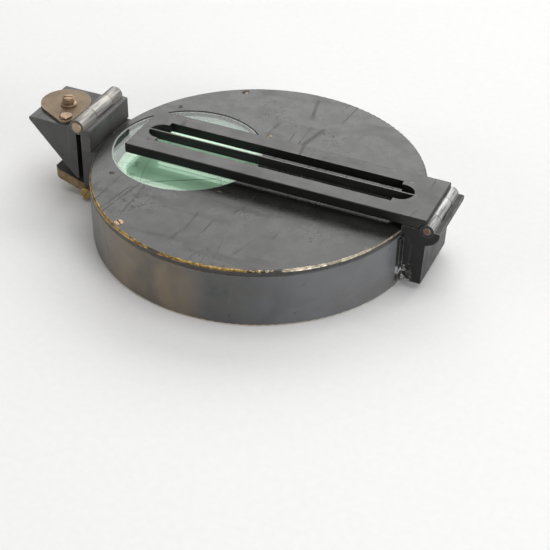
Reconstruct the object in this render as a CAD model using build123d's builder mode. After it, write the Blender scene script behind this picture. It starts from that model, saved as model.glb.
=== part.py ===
from build123d import *
import math
import os

# Surveyor's prismatic compass with a closed metal lid, a round reading window,
# a folding slotted sight vane and a folding prism on a focusing slide.
# Millimetres.  Origin: centre of the case's flat base.  +Z up, +X from the
# prism towards the vane hinge, the folded vane lying along X over the lid.

os.makedirs("parts", exist_ok=True)

# ---------------------------------------------------------------- dimensions
# case
R_CASE = 57.5          # drum radius (115 mm, four and a half inches)
R_IN = 55.7            # inside of the drum wall
T_BASE = 1.6           # base thickness
Z_LID = 19.55          # underside of the lid
Z_TOP = 21.55          # top of the lid
R_LUG = 55.0           # lid screw circle
R_LUG_BOSS = 2.2
LID_SCREW_R = 1.5
# reading window
WX, WY = -28.3, 2.2    # window centre
R_WIN = 26.5           # hole in the lid
R_GLASS = 27.25
Z_GLASS = 19.3
Z_PANE = 21.15         # top of the glass, just under the lid's top
R_RING = 32.0          # retaining ring under the lid
Z_RING = 18.3
R_RING_IN = 25.8
R_WSCREW = 29.8        # small screws round the window
WSCREW_A = (-122.5, 122.5, 42.5, -42.5)
# pivot and card
POST_R = 2.4
Z_POST = 10.5
CARD_R = 50.5
Z_CARD = 15.3
T_CARD = 0.5
# lifting gear, laid out along a line at LIFT_A from +X
LIFT_A = 8.83
LIFT_U = 52.1          # lift pin from the centre
LEVER_U = 22.0         # lever pin from the centre
Z_LEVER = 7.5
LEVER_T = 1.0
# brake
BRAKE_A = 28.0
Z_BRAKE = 5.6
# vane
V_X0, V_X1 = -45.0, 64.2
V_W = 12.65            # half width
V_Z0, V_Z1 = 24.1, 27.5
SLOT_X0, SLOT_X1, SLOT_H = -41.7, 55.5, 4.5
WIDE_X0, WIDE_X1, WIDE_H = -36.6, 49.8, 6.45
BLADE_T = 0.4
BLADE_X0, BLADE_X1 = -42.7, 56.5
VH_X, VH_Z = 64.6, 23.6      # vane hinge axis
VH_R = 2.35                  # barrel radius
VH_PIN = 1.2
VK0, VK1 = -5.4, 5.3         # vane's knuckle, in the middle
BR_Z0 = 2.5                  # underside of the bracket
# prism side
G_X = -62.3            # front of the guide
G_W = 13.0             # half width of the guide
G_Z0, G_Z1 = 0.5, 20.4
CH_NECK, CH_WING = 8.05, 10.05
PH_X, PH_Z = -63.2, 29.4     # prism hinge axis
PH_R = 2.75
PH_PIN = 1.9
PK0, PK1 = -4.2, 6.8         # prism box's knuckle, between the slide's two
PK_Y0, PK_Y1 = -13.5, 13.5   # ends of the barrel
HD_X0, HD_X1 = -61.9, -58.4  # slide's head
HD_Z0, HD_Z1 = 20.7, 28.9
SS_X, SS_Z = -61.2, 3.0      # slide's friction screw
B_W = 12.2             # half width of the prism box
B_X0, B_X1 = -83.5, -64.7
B_Z1 = 28.2
T_BOX = 1.2
CP_X, CP_Y = -76.3, 0.9      # round end of the cover plate
CP_R = 8.9
CS_X, CS_Y = -70.6, -8.4     # cover pivot
CS_R = 3.1
KN_X, KN_Y = -74.1, -0.6     # cover knob
GAP = 0.3              # free gap between parts that pass each other


def at_y(y):
    """Plane facing -Y at this y, with local x = X and local y = Z."""
    return Plane.XZ.offset(-y)


def polar(r, a):
    return (r * math.cos(math.radians(a)), r * math.sin(math.radians(a)))


LUG_A = (0.0, 120.0, -120.0)
WS = [(WX + polar(R_WSCREW, a)[0], WY + polar(R_WSCREW, a)[1]) for a in WSCREW_A]
ca, sa = math.cos(math.radians(LIFT_A)), math.sin(math.radians(LIFT_A))
LIFT_XY = (LIFT_U * ca, LIFT_U * sa)


def lift_plane(z):
    return Plane(origin=(0, 0, z), x_dir=(ca, sa, 0), z_dir=(0, 0, 1))


def lift_side(u, z):
    """Plane square to the lever's pin, centred on the pin's axis."""
    return Plane(origin=(u * ca, u * sa, z), x_dir=(ca, sa, 0), z_dir=(-sa, ca, 0))


cb, sb = math.cos(math.radians(BRAKE_A)), math.sin(math.radians(BRAKE_A))


def brake_plane(r, z):
    """Plane facing outward along the brake's radius."""
    return Plane(origin=(r * cb, r * sb, z), x_dir=(-sb, cb, 0), z_dir=(cb, sb, 0))


BR_SCREWS = [(y, z) for y in (-8.0, 8.0) for z in (4.9, 15.6)]
GD_SCREWS = [(y, z) for y in (-6.0, 6.0) for z in (5.0, 15.0)]

# ---------------------------------------------------------------- case body
with BuildPart() as case_body:
    with BuildSketch():
        Circle(R_CASE)
    extrude(amount=Z_LID)
    with BuildSketch(Plane.XY.offset(T_BASE)):
        Circle(R_IN)
    extrude(amount=Z_LID, mode=Mode.SUBTRACT)
    rims = case_body.edges().filter_by(GeomType.CIRCLE).filter_by(lambda e: abs(e.radius - R_CASE) < 0.01)
    chamfer(rims.sort_by(Axis.Z)[-1], length=0.3)
    rims = case_body.edges().filter_by(GeomType.CIRCLE).filter_by(lambda e: abs(e.radius - R_CASE) < 0.01)
    fillet(rims.sort_by(Axis.Z)[0], radius=0.6)
    # lugs for the lid screws
    with BuildSketch(Plane.XY.offset(T_BASE)):
        for a in LUG_A:
            with Locations(polar(R_LUG, a)):
                Circle(R_LUG_BOSS)
    extrude(amount=Z_LID - T_BASE)
    with BuildSketch(Plane.XY.offset(Z_LID - 5.0)):
        for a in LUG_A:
            with Locations(polar(R_LUG, a)):
                Circle(0.82)
    extrude(amount=6.0, mode=Mode.SUBTRACT)
    # holes for the bracket, guide and brake
    for y, z in BR_SCREWS:
        with BuildSketch(Plane.YZ.offset(50.0)):
            with Locations((y, z)):
                Circle(0.92)
        extrude(amount=9.0, mode=Mode.SUBTRACT)
    for y, z in GD_SCREWS:
        with BuildSketch(Plane.YZ.offset(-59.0)):
            with Locations((y, z)):
                Circle(0.92)
        extrude(amount=9.0, mode=Mode.SUBTRACT)
    with BuildSketch(brake_plane(52.0, Z_BRAKE)):
        Circle(1.06)
    extrude(amount=8.0, mode=Mode.SUBTRACT)
    # blind hole for the lifter spring's screw
    with BuildSketch(lift_plane(0.5)):
        with Locations((32.0, 0)):
            Circle(0.62)
    extrude(amount=2.0, mode=Mode.SUBTRACT)
case_body.part.label = "case_body"
export_step(case_body.part, "parts/case_body.step")

# ---------------------------------------------------------------- lid
with BuildPart() as top_plate:
    with BuildSketch(Plane.XY.offset(Z_LID)):
        Circle(R_CASE)
    extrude(amount=Z_TOP - Z_LID)
    rims = top_plate.edges().filter_by(GeomType.CIRCLE).sort_by(Axis.Z)
    chamfer(rims[0], length=0.3)
    rims = top_plate.edges().filter_by(GeomType.CIRCLE).sort_by(Axis.Z)
    fillet(rims[-1], radius=0.7)
    with BuildSketch(Plane.XY.offset(Z_LID - 1)):
        with Locations((WX, WY)):
            Circle(R_WIN)
    extrude(amount=4.0, mode=Mode.SUBTRACT)
    win = top_plate.edges().filter_by(GeomType.CIRCLE).filter_by(lambda e: abs(e.radius - R_WIN) < 0.01)
    chamfer(win.sort_by(Axis.Z)[-1], length=0.15)
    # rebate for the glass, which sits almost flush
    with BuildSketch(Plane.XY.offset(Z_LID - 1)):
        with Locations((WX, WY)):
            Circle(R_GLASS + 0.06)
        Circle(R_IN - 0.54, mode=Mode.INTERSECT)
    extrude(amount=Z_PANE - Z_LID + 1, mode=Mode.SUBTRACT)
    with BuildSketch(Plane.XY.offset(Z_LID - 1)):
        for a in LUG_A:
            with Locations(polar(R_LUG, a)):
                Circle(0.82)
        for p in WS:
            with Locations(p):
                Circle(0.52)
        with Locations(LIFT_XY):
            Circle(1.06)
    extrude(amount=4.0, mode=Mode.SUBTRACT)
    with BuildSketch(Plane.XY.offset(Z_TOP - 0.8)):
        for a in LUG_A:
            with Locations(polar(R_LUG, a)):
                Circle(LID_SCREW_R + 0.03)
    extrude(amount=2.0, mode=Mode.SUBTRACT)
    with BuildSketch(Plane.XY.offset(Z_TOP - 0.6)):
        for p in WS:
            with Locations(p):
                Circle(0.98)
    extrude(amount=2.0, mode=Mode.SUBTRACT)
top_plate.part.label = "top_plate"
export_step(top_plate.part, "parts/top_plate.step")

# lid screws: flush cheese heads, each slot turned its own way
with BuildPart() as lid_screws:
    for a, turn in zip(LUG_A, (20, 65, -35)):
        x, y = polar(R_LUG, a)
        with BuildSketch(Plane.XY.offset(Z_LID - 4.6)):
            with Locations((x, y)):
                Circle(0.8)
        extrude(amount=Z_TOP - 0.8 - (Z_LID - 4.6))
        with BuildSketch(Plane.XY.offset(Z_TOP - 0.8)):
            with Locations((x, y)):
                Circle(LID_SCREW_R)
        extrude(amount=0.86)
        with BuildSketch(Plane(origin=(x, y, Z_TOP - 0.34), x_dir=(*polar(1, turn), 0), z_dir=(0, 0, 1))):
            Rectangle(4, 0.45)
        extrude(amount=1, mode=Mode.SUBTRACT)
lid_screws.part.label = "lid_screws"
export_step(lid_screws.part, "parts/lid_screws.step")

# ---------------------------------------------------------------- window
with BuildPart() as window_glass:
    with BuildSketch(Plane.XY.offset(Z_GLASS)):
        with Locations((WX, WY)):
            Circle(R_GLASS)
        Circle(R_IN - 0.6, mode=Mode.INTERSECT)
    extrude(amount=Z_PANE - Z_GLASS)
window_glass.part.label = "window_glass"
export_step(window_glass.part, "parts/window_glass.step")

with BuildPart() as window_retainer:
    with BuildSketch(Plane.XY.offset(Z_RING)):
        with Locations((WX, WY)):
            Circle(R_RING)
        Circle(R_IN - 0.3, mode=Mode.INTERSECT)
        with Locations((WX, WY)):
            Circle(R_RING_IN, mode=Mode.SUBTRACT)
    extrude(amount=Z_LID - Z_RING)
    with BuildSketch(Plane.XY.offset(Z_GLASS)):
        with Locations((WX, WY)):
            Circle(R_GLASS + 0.06)
        Circle(R_IN - 0.54, mode=Mode.INTERSECT)
    extrude(amount=3.0, mode=Mode.SUBTRACT)
    with BuildSketch(Plane.XY.offset(Z_RING - 1)):
        for p in WS:
            with Locations(p):
                Circle(0.52)
    extrude(amount=5.0, mode=Mode.SUBTRACT)
window_retainer.part.label = "window_retainer"
export_step(window_retainer.part, "parts/window_retainer.step")

with BuildPart() as window_screws:
    for (x, y), turn in zip(WS, (15, 80, -40, 50)):
        with BuildSketch(Plane.XY.offset(Z_RING + 0.2)):
            with Locations((x, y)):
                Circle(0.5)
        extrude(amount=Z_TOP - 0.6 - Z_RING - 0.2)
        with BuildSketch(Plane.XY.offset(Z_TOP - 0.6)):
            with Locations((x, y)):
                Circle(0.95)
        extrude(amount=0.66)
        with BuildSketch(Plane(origin=(x, y, Z_TOP - 0.22), x_dir=(*polar(1, turn), 0), z_dir=(0, 0, 1))):
            Rectangle(3, 0.3)
        extrude(amount=1, mode=Mode.SUBTRACT)
window_screws.part.label = "window_screws"
export_step(window_screws.part, "parts/window_screws.step")

# ---------------------------------------------------------------- pivot
with BuildPart() as pivot_post:
    with BuildSketch(Plane.XY.offset(T_BASE)):
        Circle(5.0)
    extrude(amount=1.4)
    with BuildSketch(Plane.XY.offset(T_BASE)):
        Circle(POST_R)
    extrude(amount=Z_POST - T_BASE)
    chamfer(pivot_post.edges().filter_by(GeomType.CIRCLE).sort_by(Axis.Z)[-1], length=0.3)
    with BuildSketch(Plane.XY.offset(Z_POST - 2.5)):
        Circle(0.61)
    extrude(amount=4, mode=Mode.SUBTRACT)
pivot_post.part.label = "pivot_post"
export_step(pivot_post.part, "parts/pivot_post.step")

with BuildPart() as pivot_needle:
    with BuildSketch(Plane.XZ):
        Polygon([(0, 8.1), (0.6, 8.1), (0.6, 12.3), (0.1, 13.95), (0, 13.95)], align=None)
    revolve(axis=Axis.Z)
pivot_needle.part.label = "pivot_needle"
export_step(pivot_needle.part, "parts/pivot_needle.step")

# ---------------------------------------------------------------- card
with BuildPart() as jewel_cap:
    with BuildSketch(Plane.XZ):
        Polygon([(1.1, 11.5), (3.0, 11.5), (3.0, 13.6), (4.6, 13.9), (4.6, 14.3), (1.55, 14.3),
                 (1.55, 15.9), (1.1, 16.25), (0, 16.35), (0, 15.1), (0.25, 14.8), (1.1, 13.9)], align=None)
    revolve(axis=Axis.Z)
jewel_cap.part.label = "jewel_cap"
export_step(jewel_cap.part, "parts/jewel_cap.step")

with BuildPart() as needle_magnet:
    with BuildSketch(Plane.XY.offset(14.3)):
        with BuildLine():
            Polyline([(-43, 0), (-36, 4.0), (36, 4.0), (43, 0), (36, -4.0), (-36, -4.0)], close=True)
        make_face()
        Circle(1.6, mode=Mode.SUBTRACT)
    extrude(amount=1.0)
needle_magnet.part.label = "needle_magnet"
export_step(needle_magnet.part, "parts/needle_magnet.step")

with BuildPart() as compass_card:
    with BuildSketch(Plane.XY.offset(Z_CARD)):
        Circle(CARD_R)
        Circle(1.6, mode=Mode.SUBTRACT)
    extrude(amount=T_CARD)
compass_card.part.label = "compass_card"
export_step(compass_card.part, "parts/compass_card.step")

# ---------------------------------------------------------------- lifting gear
with BuildPart() as lift_collar:
    with BuildSketch(Plane.XY.offset(8.35)):
        Circle(4.2)
    extrude(amount=0.8)
    with BuildSketch(Plane.XY.offset(8.35)):
        Circle(3.3)
    extrude(amount=2.85)
    with BuildSketch(Plane.XY.offset(8.0)):
        Circle(POST_R + 0.06)
    extrude(amount=4.0, mode=Mode.SUBTRACT)
lift_collar.part.label = "lift_collar"
export_step(lift_collar.part, "parts/lift_collar.step")

with BuildPart() as lifter_lever:
    with BuildSketch(lift_plane(Z_LEVER - LEVER_T / 2)):
        Circle(5.3)
        with Locations((LIFT_U / 2, 0)):
            Rectangle(LIFT_U, 3.2)
        with Locations((LIFT_U, 0)):
            Circle(1.8)
        Circle(3.2, mode=Mode.SUBTRACT)
    extrude(amount=LEVER_T)
    with BuildSketch(lift_side(LEVER_U, Z_LEVER)):
        Circle(1.7)
    extrude(amount=2.2, both=True)
    with BuildSketch(lift_side(LEVER_U, Z_LEVER)):
        Circle(0.8)
    extrude(amount=3.0, both=True, mode=Mode.SUBTRACT)
lifter_lever.part.label = "lifter_lever"
export_step(lifter_lever.part, "parts/lifter_lever.step")

with BuildPart() as lever_stand:
    with BuildSketch(lift_plane(T_BASE)):
        with Locations((LEVER_U, 0)):
            RectangleRounded(8.0, 9.0, 1.0)
    extrude(amount=1.0)
    with BuildSketch(lift_plane(T_BASE)):
        with Locations((LEVER_U, 3.1), (LEVER_U, -3.1)):
            Rectangle(4.4, 1.2)
    extrude(amount=8.0)
    with BuildSketch(lift_side(LEVER_U, Z_LEVER)):
        Circle(0.76)
    extrude(amount=5.0, both=True, mode=Mode.SUBTRACT)
lever_stand.part.label = "lever_stand"
export_step(lever_stand.part, "parts/lever_stand.step")

with BuildPart() as lever_pin:
    with BuildSketch(lift_side(LEVER_U, Z_LEVER)):
        Circle(0.75)
    extrude(amount=4.0, both=True)
lever_pin.part.label = "lever_pin"
export_step(lever_pin.part, "parts/lever_pin.step")

with BuildPart() as lifter_spring:
    with BuildSketch(Plane(origin=(0, 0, 0), x_dir=(ca, sa, 0), z_dir=(sa, -ca, 0))):
        Polygon([(29.5, 1.6), (38.2, 1.6), (45.2, 6.15), (47.6, 6.5), (47.6, 6.9), (45.0, 6.55), (38.0, 2.0), (29.5, 2.0)], align=None)
    extrude(amount=1.5, both=True)
    with BuildSketch(lift_plane(0)):
        with Locations((32.0, 0)):
            Circle(0.62)
    extrude(amount=4.0, mode=Mode.SUBTRACT)
lifter_spring.part.label = "lifter_spring"
export_step(lifter_spring.part, "parts/lifter_spring.step")

with BuildPart() as spring_screw:
    with BuildSketch(lift_plane(0.6)):
        with Locations((32.0, 0)):
            Circle(0.6)
    extrude(amount=1.4)
    with BuildSketch(lift_plane(2.0)):
        with Locations((32.0, 0)):
            Circle(1.4)
    extrude(amount=0.9)
    with BuildSketch(lift_plane(2.5)):
        with Locations((32.0, 0)):
            Rectangle(4, 0.4)
    extrude(amount=1.0, mode=Mode.SUBTRACT)
spring_screw.part.label = "spring_screw"
export_step(spring_screw.part, "parts/spring_screw.step")

with BuildPart() as lift_pin:
    with BuildSketch(Plane.XY.offset(8.15)):
        with Locations(LIFT_XY):
            Circle(1.0)
    extrude(amount=24.0 - 8.15)
    fillet(lift_pin.edges().filter_by(GeomType.CIRCLE).sort_by(Axis.Z)[-1], radius=0.45)
    with BuildSketch(Plane.XY.offset(17.3)):
        with Locations(LIFT_XY):
            Circle(1.7)
    extrude(amount=0.8)
lift_pin.part.label = "lift_pin"
export_step(lift_pin.part, "parts/lift_pin.step")

# ---------------------------------------------------------------- brake
with BuildPart() as brake_button:
    with BuildSketch(brake_plane(53.1, Z_BRAKE)):
        Circle(1.0)
    extrude(amount=5.6)
    with BuildSketch(brake_plane(58.7, Z_BRAKE)):
        Circle(2.0)
    extrude(amount=1.5)
    fillet(brake_button.faces().sort_by(Axis((0, 0, 0), (cb, sb, 0)))[-1].edges(), radius=0.5)
brake_button.part.label = "brake_button"
export_step(brake_button.part, "parts/brake_button.step")

with BuildPart() as brake_arm:
    with BuildSketch(brake_plane(52.3, Z_BRAKE)):
        with Locations((0, 4.2)):
            Rectangle(4.0, 12.6)
    extrude(amount=0.8)
    with BuildSketch(brake_plane(51.7, Z_BRAKE)):
        with Locations((0, 9.4)):
            Rectangle(3.2, 2.2)
    extrude(amount=0.7)
brake_arm.part.label = "brake_arm"
export_step(brake_arm.part, "parts/brake_arm.step")

# ---------------------------------------------------------------- vane bracket
with BuildPart() as vane_bracket:
    with BuildSketch(at_y(V_W)):
        with BuildLine():
            l1 = Polyline([(55.0, BR_Z0), (64.1, BR_Z0), (64.6, 17.9), (66.2, 18.6)])
            l2 = ThreePointArc((66.2, 18.6), (68.35, 20.6), (68.9, 23.7))
            l3 = Polyline([(68.9, 23.7), (VH_X, 23.7), (VH_X, 23.8), (55.0, 23.8), (55.0, BR_Z0)])
        make_face()
    extrude(amount=2 * V_W)
    # thin saddle that hugs the wall
    with BuildSketch(Plane.XY.offset(BR_Z0)):
        Circle(R_CASE + 1.1)
        with Locations((R_CASE, 0)):
            Rectangle(20, 2 * 14.6, mode=Mode.INTERSECT)
    extrude(amount=19.2 - BR_Z0)
    # barrel
    with BuildSketch(at_y(V_W)):
        with Locations((VH_X, VH_Z)):
            Circle(VH_R)
    extrude(amount=2 * V_W)
    with BuildSketch(Plane.XY.offset(-1)):
        Circle(R_CASE + 0.02)
    extrude(amount=40, mode=Mode.SUBTRACT)
    # seat for the vane's middle knuckle
    with BuildSketch(at_y(VK1 + 0.2)):
        with Locations((VH_X, VH_Z)):
            Circle(VH_R + GAP)
    extrude(amount=VK1 - VK0 + 0.4, mode=Mode.SUBTRACT)
    with BuildSketch(at_y(20)):
        with Locations((VH_X, VH_Z)):
            Circle(VH_PIN + 0.01)
    extrude(amount=40, mode=Mode.SUBTRACT)
    for y, z in BR_SCREWS:
        with BuildSketch(Plane.YZ.offset(50.0)):
            with Locations((y, z)):
                Circle(0.92)
        extrude(amount=12.1, mode=Mode.SUBTRACT)
    with BuildSketch(at_y(-V_W + 2.2)):
        with Locations((59.8, 6.0)):
            Circle(0.62)
    extrude(amount=4.0, mode=Mode.SUBTRACT)
vane_bracket.part.label = "vane_bracket"
export_step(vane_bracket.part, "parts/vane_bracket.step")

with BuildPart() as bracket_screws:
    for y, z in BR_SCREWS:
        with BuildSketch(Plane.YZ.offset(53.6)):
            with Locations((y, z)):
                Circle(1.7)
        extrude(amount=1.15)
        with BuildSketch(Plane.YZ.offset(54.0)):
            with Locations((y, z)):
                Circle(0.9)
        extrude(amount=8.0)
        with BuildSketch(Plane.YZ.offset(53.0)):
            with Locations((y, z)):
                Rectangle(0.5, 5)
        extrude(amount=1.0, mode=Mode.SUBTRACT)
bracket_screws.part.label = "bracket_screws"
export_step(bracket_screws.part, "parts/bracket_screws.step")

with BuildPart() as bracket_side_screw:
    with BuildSketch(at_y(-V_W + 2.0)):
        with Locations((59.8, 6.0)):
            Circle(0.6)
    extrude(amount=2.0)
    with BuildSketch(at_y(-V_W)):
        with Locations((59.8, 6.0)):
            Circle(1.15)
    extrude(amount=0.55)
    fillet(bracket_side_screw.faces().sort_by(Axis.Y)[0].edges(), radius=0.25)
    with BuildSketch(Plane(origin=(59.8, -V_W - 0.3, 6.0), x_dir=(0.5, 0, 0.866), z_dir=(0, -1, 0))):
        Rectangle(4, 0.35)
    extrude(amount=1.0, mode=Mode.SUBTRACT)
bracket_side_screw.part.label = "bracket_side_screw"
export_step(bracket_side_screw.part, "parts/bracket_side_screw.step")

with BuildPart() as vane_hinge_pin:
    with BuildSketch(at_y(V_W + 0.25)):
        with Locations((VH_X, VH_Z)):
            Circle(VH_PIN)
    extrude(amount=2 * V_W + 0.5)
    chamfer(vane_hinge_pin.edges().filter_by(GeomType.CIRCLE), length=0.2)
vane_hinge_pin.part.label = "vane_hinge_pin"
export_step(vane_hinge_pin.part, "parts/vane_hinge_pin.step")

# ---------------------------------------------------------------- sight vane
with BuildPart() as sight_vane:
    with BuildSketch(Plane.XY.offset(V_Z0)):
        with Locations(((V_X0 + V_X1) / 2, 0)):
            Rectangle(V_X1 - V_X0, 2 * V_W)
    extrude(amount=V_Z1 - V_Z0)
    fillet(sight_vane.edges().filter_by(Axis.Z), radius=0.5)
    chamfer(sight_vane.faces().sort_by(Axis.Z)[-1].edges(), length=0.25)
    # hollow under the end, over the bracket's knuckles
    with BuildSketch(at_y(20)):
        with Locations((VH_X, VH_Z)):
            Circle(VH_R + GAP)
    extrude(amount=40, mode=Mode.SUBTRACT)
    with BuildSketch(Plane.XY.offset(V_Z0)):
        with Locations((VH_X - 2.2, (VK0 + VK1) / 2)):
            Rectangle(3.6, VK1 - VK0)
    extrude(amount=2.6)
    with BuildSketch(at_y(VK1)):
        with Locations((VH_X, VH_Z)):
            Circle(VH_R)
    extrude(amount=VK1 - VK0)
    with BuildSketch(at_y(20)):
        with Locations((VH_X, VH_Z)):
            Circle(VH_PIN + 0.05)
    extrude(amount=40, mode=Mode.SUBTRACT)
    # stepped slot
    with BuildSketch(Plane.XY.offset(V_Z0 - 1)):
        with Locations(((SLOT_X0 + SLOT_X1) / 2, 0)):
            SlotOverall(SLOT_X1 - SLOT_X0, 2 * SLOT_H)
        with Locations(((WIDE_X0 + WIDE_X1) / 2, 0)):
            Rectangle(WIDE_X1 - WIDE_X0, 2 * WIDE_H)
    extrude(amount=8, mode=Mode.SUBTRACT)
    # saw cuts that hold the blade
    with BuildSketch(Plane.XY.offset(V_Z0 - 1)):
        with Locations(((BLADE_X0 + BLADE_X1) / 2, 0)):
            Rectangle(BLADE_X1 - BLADE_X0 + 0.04, BLADE_T + 0.02)
    extrude(amount=8, mode=Mode.SUBTRACT)
    with BuildSketch(Plane.XY.offset(V_Z0 - 1)):
        with Locations((-38.9, -6.6), (52.6, 6.6)):
            Circle(0.62)
    extrude(amount=8, mode=Mode.SUBTRACT)
sight_vane.part.label = "sight_vane"
export_step(sight_vane.part, "parts/sight_vane.step")

with BuildPart() as sight_blade:
    with BuildSketch(Plane.XY.offset(V_Z0 + 0.02)):
        with Locations(((BLADE_X0 + BLADE_X1) / 2, 0)):
            Rectangle(BLADE_X1 - BLADE_X0, BLADE_T)
    extrude(amount=V_Z1 - V_Z0 - 0.04)
sight_blade.part.label = "sight_blade"
export_step(sight_blade.part, "parts/sight_blade.step")

with BuildPart() as vane_pins:
    for x, y in ((-38.9, -6.6), (52.6, 6.6)):
        with BuildSketch(Plane.XY.offset(V_Z0 + 0.05)):
            with Locations((x, y)):
                Circle(0.6)
        extrude(amount=V_Z1 - V_Z0)
vane_pins.part.label = "vane_pins"
export_step(vane_pins.part, "parts/vane_pins.step")

# ---------------------------------------------------------------- prism guide
with BuildPart() as prism_guide:
    with BuildSketch(Plane.XY.offset(G_Z0)):
        with Locations(((G_X - 50.0) / 2, 0)):
            Rectangle(-50.0 - G_X, 2 * G_W)
        Circle(R_CASE + 0.02, mode=Mode.SUBTRACT)
        with Locations((-60.0, 0)):
            Rectangle(1.5, 2 * CH_WING, mode=Mode.SUBTRACT)
        with Locations((-61.8, 0)):
            Rectangle(2.4, 2 * CH_NECK, mode=Mode.SUBTRACT)
    extrude(amount=G_Z1 - G_Z0)
    for y, z in GD_SCREWS:
        with BuildSketch(Plane.YZ.offset(-59.5)):
            with Locations((y, z)):
                Circle(0.92)
        extrude(amount=8.0, mode=Mode.SUBTRACT)
    with BuildSketch(at_y(-10.35)):
        with Locations((SS_X, SS_Z)):
            Circle(0.77)
    extrude(amount=5.0, mode=Mode.SUBTRACT)
prism_guide.part.label = "prism_guide"
export_step(prism_guide.part, "parts/prism_guide.step")

with BuildPart() as guide_screws:
    for y, z in GD_SCREWS:
        with BuildSketch(Plane.YZ.offset(-55.1)):
            with Locations((y, z)):
                Circle(1.7)
        extrude(amount=1.2)
        with BuildSketch(Plane.YZ.offset(-59.1)):
            with Locations((y, z)):
                Circle(0.9)
        extrude(amount=4.5)
        with BuildSketch(Plane.YZ.offset(-54.4)):
            with Locations((y, z)):
                Rectangle(0.5, 5)
        extrude(amount=1.0, mode=Mode.SUBTRACT)
guide_screws.part.label = "guide_screws"
export_step(guide_screws.part, "parts/guide_screws.step")

with BuildPart() as slide_screw:
    with BuildSketch(at_y(-10.4)):
        with Locations((SS_X, SS_Z)):
            Circle(0.75)
    extrude(amount=G_W - 10.4)
    with BuildSketch(at_y(-G_W)):
        with Locations((SS_X, SS_Z)):
            Circle(2.3)
    extrude(amount=1.5)
    fillet(slide_screw.faces().sort_by(Axis.Y)[0].edges(), radius=0.45)
    with BuildSketch(Plane(origin=(SS_X, -G_W - 0.8, SS_Z), x_dir=(0.77, 0, 0.64), z_dir=(0, -1, 0))):
        Rectangle(6, 0.6)
    extrude(amount=2.0, mode=Mode.SUBTRACT)
slide_screw.part.label = "slide_screw"
export_step(slide_screw.part, "parts/slide_screw.step")

# ---------------------------------------------------------------- focusing slide
TG_X1, TG_Z1 = -62.6, 5.5          # top of the tongue at its root
TG_X0, TG_Z0 = -74.9, 9.49           # top of the tongue at its end
TG_T = 3.8
with BuildPart() as focus_slide:
    # tongue under the prism, with rounded corners in plan
    with BuildSketch(at_y(12.0)):
        Polygon([(TG_X1, TG_Z1), (TG_X0, TG_Z0), (TG_X0 - 0.35, TG_Z0 - 1.6), (TG_X0, TG_Z0 - TG_T), (TG_X1, TG_Z1 - TG_T)], align=None)
    extrude(amount=24.0)
    with BuildSketch(Plane.XY):
        with Locations((-70.0, 0)):
            RectangleRounded(10.6, 24.0, 2.6)
        with Locations((-66.0, 0)):
            Rectangle(10.6, 24.0)
    extrude(amount=20.0, mode=Mode.INTERSECT)
    # plate that runs in the guide
    with BuildSketch(Plane.XY.offset(2.8)):
        with Locations((-60.0, 0)):
            Rectangle(1.4, 20.0)
        with Locations((-61.45, 0)):
            Rectangle(2.3, 16.0)
    extrude(amount=20.8 - 2.8)
    # head
    with BuildSketch(Plane.XY.offset(HD_Z0)):
        with Locations(((HD_X0 + HD_X1) / 2, 0)):
            Rectangle(HD_X1 - HD_X0, PK_Y1 - PK_Y0)
    extrude(amount=HD_Z1 - HD_Z0)
    chamfer(focus_slide.edges().filter_by(Axis.Y).filter_by(lambda e: e.center().Z > HD_Z1 - 0.1 and e.center().X > HD_X1 - 0.1), length=0.3)
    # its two knuckles, and room between them for the box's
    for y0, y1 in ((PK_Y0, PK0 - 0.2), (PK1 + 0.2, PK_Y1)):
        with BuildSketch(at_y(y1)):
            with Locations((PH_X, PH_Z)):
                Circle(PH_R)
        extrude(amount=y1 - y0)
    with BuildSketch(at_y(PK1 + 0.2)):
        with Locations((PH_X, PH_Z)):
            Circle(PH_R + GAP)
    extrude(amount=PK1 - PK0 + 0.4, mode=Mode.SUBTRACT)
    with BuildSketch(at_y(20)):
        with Locations((PH_X, PH_Z)):
            Circle(PH_PIN + 0.01)
    extrude(amount=40, mode=Mode.SUBTRACT)
focus_slide.part.label = "focus_slide"
export_step(focus_slide.part, "parts/focus_slide.step")

with BuildPart() as prism_hinge_pin:
    with BuildSketch(at_y(13.75)):
        with Locations((PH_X, PH_Z)):
            Circle(PH_PIN)
    extrude(amount=27.6)
    chamfer(prism_hinge_pin.edges().filter_by(GeomType.CIRCLE), length=0.25)
prism_hinge_pin.part.label = "prism_hinge_pin"
export_step(prism_hinge_pin.part, "parts/prism_hinge_pin.step")

# ---------------------------------------------------------------- prism box
P1 = (B_X0, 27.0)                    # outer end of the sloping back
P2 = (-65.8, 7.5)                    # lower end of the sloping back
HL = math.hypot(P2[0] - P1[0], P2[1] - P1[1])
DX, DZ = (P2[0] - P1[0]) / HL, (P2[1] - P1[1]) / HL
NX, NZ = -DZ, DX                     # into the box


def back(s, n):
    return (P1[0] + s * DX + n * NX, P1[1] + s * DZ + n * NZ)


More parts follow.
